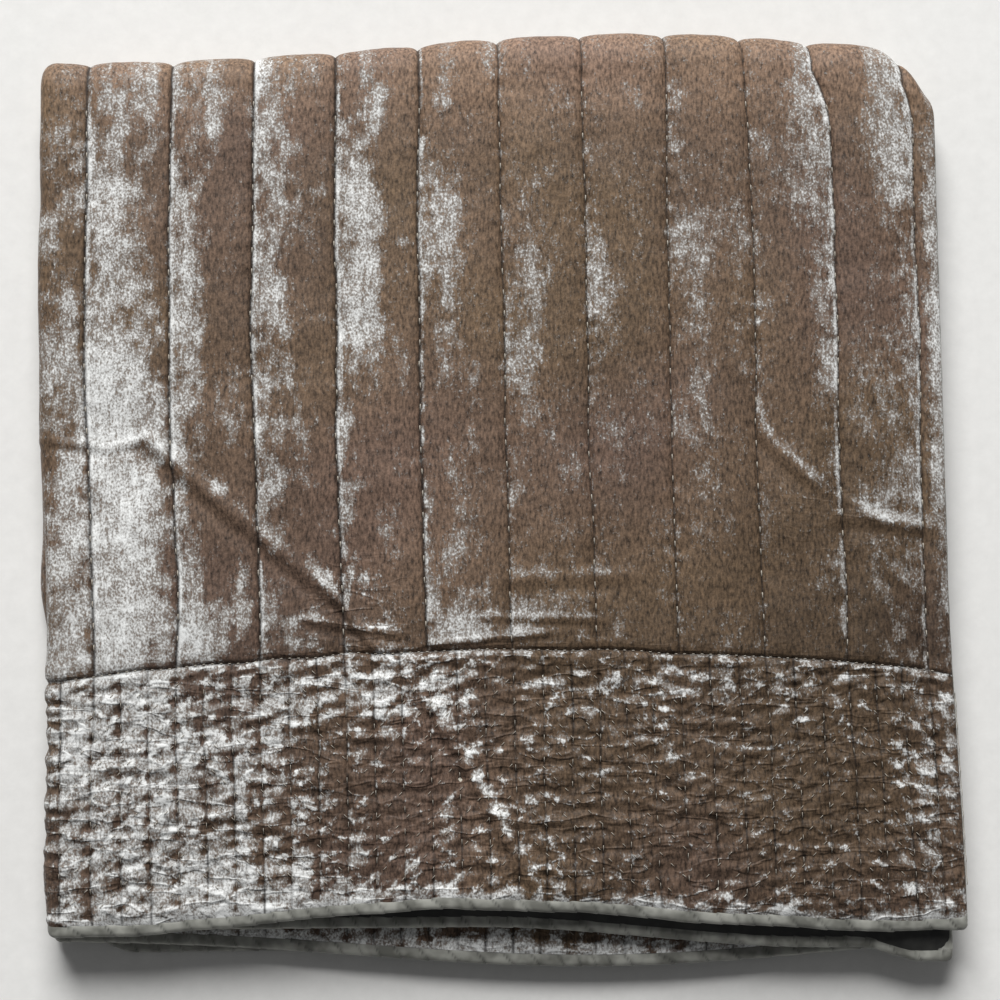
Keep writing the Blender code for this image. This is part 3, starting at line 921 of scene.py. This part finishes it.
def straight_row(layer, row, start, end, counted):
    """The path of one row of running stitch between two shares of the length."""
    across = np.full(200, share_across(row))
    along = np.linspace(start, end, 200)
    return sewn_path(layer, across, along, counted, face(layer, across, along, 1)[1], ROW_STITCH)


def slanting_paths(layer):
    """The zigzag rows of the border, split where they meet its edges or turn."""
    paths = []
    left, right = left_edge(layer, -0.2) + LAYER, right_edge(layer, -0.2)
    x = np.linspace(left + 0.006, right - 0.010, 700)
    across = (x - left) / (right - left)
    front, seam = front_edge(layer, x), seam_line(x)
    turning = np.concatenate([[False], np.diff(np.sign(np.diff(slant_offset(x)))) != 0, [False]])
    for number in range(-24, 0):
        y = slant_offset(x) + number * SLANT_SPACING
        along = BORDER * (y - front) / (seam - front)
        inside = (y > front + 0.012) & (y < seam - 0.004)
        sewn = np.concatenate([[0], (inside & ~turning).astype(int), [0]])
        starts = np.flatnonzero(np.diff(sewn))
        for first, last in zip(starts[::2], starts[1::2]):
            if last - first > 24:
                run = slice(first, last)
                distance = x[run] * SLANT_RUN
                paths.append(sewn_path(layer, across[run], along[run], number, distance, SLANT_STITCH))
    return paths


CHANNELS = range(11)
CLOSE_ROWS = [number / ROWS_ACROSS for number in range(-1, 32)]
for half_name, top, under in HALVES:
    for layer, place in ((top, "top"), (under, "under")):
        rows = [straight_row(layer, row, BORDER + 0.006, 0.997, row) for row in CHANNELS]
        node = f"channel_thread_{place}"
        thread_piece(half_name, f"channel_stitches_{place}", node, rows, CHANNEL_THREAD)
        rows = [straight_row(layer, row, 0.03, BORDER - 0.008, row * ROWS_ACROSS) for row in CLOSE_ROWS]
        rows += slanting_paths(layer)
        node = f"border_thread_{place}"
        thread_piece(half_name, f"border_stitches_{place}", node, rows, BORDER_THREAD)
    rows = []
    for layer in (top, under):
        across = np.linspace(0.012, 0.985, 900)
        along = np.full(900, BORDER)
        distance = face(layer, across, along, 1)[0]
        rows.append(sewn_path(layer, across, along, layer, distance, SEAM_STITCH))
    thread_piece(half_name, "seam_stitches", "border_seam_thread", rows, SEAM_THREAD)


# ------------------------------------
# Binding: an 8 mm tape of grey cotton sateen folded over the front edges, lightly pleated and
# rounded off at the right corner. The side tapes are rolled under, so only their nose shows.
def sateen_finish(name, shadow, face_colour):
    """Grey cotton sateen: a low gloss, a fine weave, and painted shade in soft creases, where a noise
    mixes it towards the shadow colour.
    """
    material, tree, shader = new_material(name)
    place = add_node(tree, "TexCoord", out="Object")
    weave = add_node(tree, "TexNoise", Vector=place, Scale=1500.0, Detail=1.0)
    crumple = add_node(tree, "TexNoise", Vector=place, Scale=90.0, Detail=2.0)
    # painted shade: in its soft creases the cloth goes towards the shadow colour
    pressed = add_node(tree, "MapRange", Value=crumple, From_Min=0.36, From_Max=0.64)
    dyed = mix_colours(tree, pressed, linear(shadow), linear(face_colour))
    # the sewn inner edge of a tape, and the step behind each of its pleats, are in shade
    sewn = add_node(tree, "Attribute", {"attribute_name": "seam"}, "Fac")
    dyed = mix_colours(tree, sewn, dyed, linear("#11110f"))
    soft = add_node(tree, "Bump", Height=crumple, Strength=0.3, Distance=0.002)
    fine = add_node(tree, "Bump", Height=weave, Strength=0.25, Distance=0.0002, Normal=soft)
    set_inputs(tree, shader, Base_Color=dyed, Roughness=0.5, Sheen_Weight=0.1, Normal=fine)
    return material


tape_sateen = sateen_finish("grey_sateen_tape", "#6f6f68", "#a3a39b")

# Tape sections, from velvet to backing: distance in from the edge and height towards the velvet,
# for layers that are 8.8 mm thick
FRONT_TAPE = np.array((
    (0.0086, 0.0010), (0.0078, 0.0020), (0.0064, 0.0023), (0.0044, 0.0022), (0.0026, 0.0020),
    (0.0013, 0.0016), (0.0004, 0.0009), (0.0000, 0.0000), (0.0004, -0.0009), (0.0013, -0.0016),
    (0.0030, -0.0020), (0.0060, -0.0021), (0.0078, -0.0020), (0.0086, -0.0012),
))
SIDE_TAPE = np.array((
    (0.0016, 0.0002), (0.0008, 0.0009), (0.0001, 0.0005), (-0.0002, -0.0002), (0.0002, -0.0012),
    (0.0014, -0.0020), (0.0040, -0.0023), (0.0078, -0.0023), (0.0088, -0.0012),
))
TAPE_SCALE = LAYER / 0.0088
PLEAT_SPACING = 0.0155
END_TAPE_WIDTH, SIDE_TAPE_WIDTH = 0.020, 0.0155    # flat


def pleat_step(layer, x, inward):
    """Place on the front tape past its last pleat, from 0 to 1: a slanted sawtooth."""
    turn = (x + 0.8 * inward) / PLEAT_SPACING + 1.1 * line_noise(x, 0.045, 111 + layer)
    return turn - np.floor(turn)


def front_tape(layer, across):
    """The tape over a layer's front edge: its section at each share of the width, pleated by 0.13
    of its height. In the last 4 mm, with c from 0 to 1, it draws in by 4 mm (1 - sqrt(1 - c^2))."""
    middle = front_edge(layer, 0)
    x = left_edge(layer, middle) + LAYER
    x = x + (right_edge(layer, middle) - x) * across[:, None] + 0 * FRONT_TAPE[None, :, 0]
    inward, height = FRONT_TAPE[:, 0], FRONT_TAPE[:, 1]
    pleats = 1 - 2 * pleat_step(layer, x, inward)
    pleats = 0.8 * pleats + 0.5 * line_noise(x - 0.6 * inward, 0.0050, 115 + layer)
    corner = np.clip(1 - (right_edge(layer, -0.27) - x) / 0.004, 0, 1)
    rounded = 0.004 * (1 - np.sqrt(1 - 0.98 * corner ** 2))
    inward = inward + 0.00025 * pleats * (inward < 0.006) + rounded
    height = height * (1 + 0.13 * pleats) * (1 - 0.75 * corner ** 3)
    y = front_edge(layer, x) + inward
    z = middle_height(layer, x, y, inward) + velvet_way(layer) * height * TAPE_SCALE
    return x, y, np.maximum(z, FLOOR_GAP)


TAPE_ACROSS = np.concatenate([[1.0, 0.9985, 0.996, 0.993], np.linspace(0.99, 0.0, 700)])
for half_name, top, under in HALVES:
    over, below = front_tape(top, TAPE_ACROSS), front_tape(under, TAPE_ACROSS[::-1])
    # painted shade on the tape: its sewn inner edge and the step behind each pleat go towards near black
    inner = (FRONT_TAPE[:, 0] > 0.0082) + 0.3 * (FRONT_TAPE[:, 0] == 0.0078)
    steps = [pleat_step(top, over[0], FRONT_TAPE[:, 0]), pleat_step(under, below[0], FRONT_TAPE[:, 0])]
    step = np.concatenate([steps[0], np.ones((len(SIDE_TURNS), len(FRONT_TAPE))), steps[1]])
    hidden = np.clip(inner + 0.75 * np.exp(-step / 0.06), 0, 1)
    piece = grid_piece(f"{half_name}_end_tape", round_side(over, below), tape_sateen, {"seam": hidden})
    flat = (CLOTH_WIDTH, END_TAPE_WIDTH)
    folded_sheet(piece, half_name, "end_binding")


def side_tape(layer, along):
    """The tape under a layer's right edge: its section at each share of the length."""
    y = spread(layer, np.ones_like(along), along)[1]
    y = y[:, None] + 0 * SIDE_TAPE[None, :, 0]
    pleats = line_noise(y + 0.7 * SIDE_TAPE[:, 0], 0.009, 121 + layer)
    x = right_edge(layer, y) - SIDE_TAPE[:, 0] - 0.0002 * pleats
    middle = middle_height(layer, x, y, y - front_edge(layer, x))
    z = middle + velvet_way(layer) * SIDE_TAPE[:, 1] * (1 + 0.1 * pleats) * TAPE_SCALE
    return x, y, np.maximum(z, FLOOR_GAP)


for half_name, top, under in HALVES:
    for layer, place in ((top, "top"), (under, "under")):
        grid = side_tape(layer, np.linspace(0.012, 1.0, 200))
        piece = grid_piece(f"{half_name}_side_tape_{place}", grid, tape_sateen, turned=layer % 2 == 1)
        node, flat = f"side_binding_{place}", (LENGTH, SIDE_TAPE_WIDTH)
        folded_sheet(piece, half_name, node)

for where, upper_layer, lower_layer in (("outer", 3, 0), ("inner", 2, 1)):
    upper = [axis[0] for axis in side_tape(upper_layer, np.array([1.0]))]
    lower = [axis[0] for axis in side_tape(lower_layer, np.array([1.0]))]
    grid = swept_round(upper, lower)
    piece = grid_piece(f"fold_side_tape_{where}", grid, tape_sateen, turned=where == "inner")
    flat = (abs(upper[2].mean() - lower[2].mean()) * math.pi / 2, SIDE_TAPE_WIDTH)
    folded_sheet(piece, "fold", f"side_binding_{where}")


# ------------------------------------
# Backing: grey cotton sateen, painted dark so that the gaps between the layers hold painted shade; the
# inside of each folded half and of the end fold. Only its front edge shows, in the gaps between the
# layers, so its grid is coarse.
# painted shade: the backing's greys are darkened for the gaps it shows in
backing_sateen = sateen_finish("grey_sateen_backing", "#1d1d1b", "#32322f")
back_along = along_stations(VELVET_START, 1.0, 80, [NEAR_FOLD])


def hidden_face(top, under, along, share):
    """The grid of a hidden cloth face of a folded half."""
    return wrapped(top, under, COARSE_CLOSE, COARSE_CLOSE, along, share)[2]


def end_fold_face(share):
    """The same face round the end fold, from the foot half's profile to the head half's."""
    upper, lower = hidden_face(3, 2, FOLD_LINE, share), hidden_face(0, 1, FOLD_LINE, share)
    return swept_round([axis[:, 1] for axis in upper], [axis[:, 1] for axis in lower])


for half_name, top, under in HALVES:
    grid = hidden_face(top, under, back_along, -1)
    piece = grid_piece(f"{half_name}_backing_sheet", grid, backing_sateen)
    folded_sheet(piece, half_name, "backing")

piece = grid_piece("fold_backing_sheet", end_fold_face(-1), backing_sateen, turned=True)
folded_sheet(piece, "fold", "backing")


# ------------------------------------
# Wadding: an undyed cotton batt a few millimetres thick, pressed thin under the stitches. It is
# hidden, so it only has to fit between velvet and backing.
batt = grained_material("undyed_cotton_batt", "#cfc8b8", "#e8e3d6", 0.95, Scale=300.0, Detail=3.0)


def slab_piece(name, outer, inner, material):
    """A closed slab between two grids of the same size: both faces and the four rims."""
    size = outer[0].size
    first = np.arange(size).reshape(outer[0].shape)
    second = first + size
    points = np.concatenate([np.stack(grid, axis=-1).reshape(-1, 3) for grid in (outer, inner)])
    rims = [
        grid_quads(np.stack([first[:, 0], second[:, 0]])),
        grid_quads(np.stack([first[:, -1], second[:, -1]]))[:, ::-1],
        grid_quads(np.stack([first[0], second[0]]))[:, ::-1],
        grid_quads(np.stack([first[-1], second[-1]])),
    ]
    quads = np.concatenate([grid_quads(first), grid_quads(second)[:, ::-1], *rims])
    return new_piece(name, points, quads[:, ::-1], material)


BATT_SHARE = 0.6  # of a layer's half thickness, at the batt's two faces
batt_along = along_stations(VELVET_START * 1.25, 1.0, 44)
for half_name, top, under in HALVES:
    outer, inner = [hidden_face(top, under, batt_along, share) for share in (BATT_SHARE, -BATT_SHARE)]
    piece = slab_piece(f"{half_name}_wadding_sheet", outer, inner, batt)
    folded_sheet(piece, half_name, "wadding")

piece = slab_piece("fold_wadding_sheet", end_fold_face(-BATT_SHARE), end_fold_face(BATT_SHARE), batt)
folded_sheet(piece, "fold", "wadding")
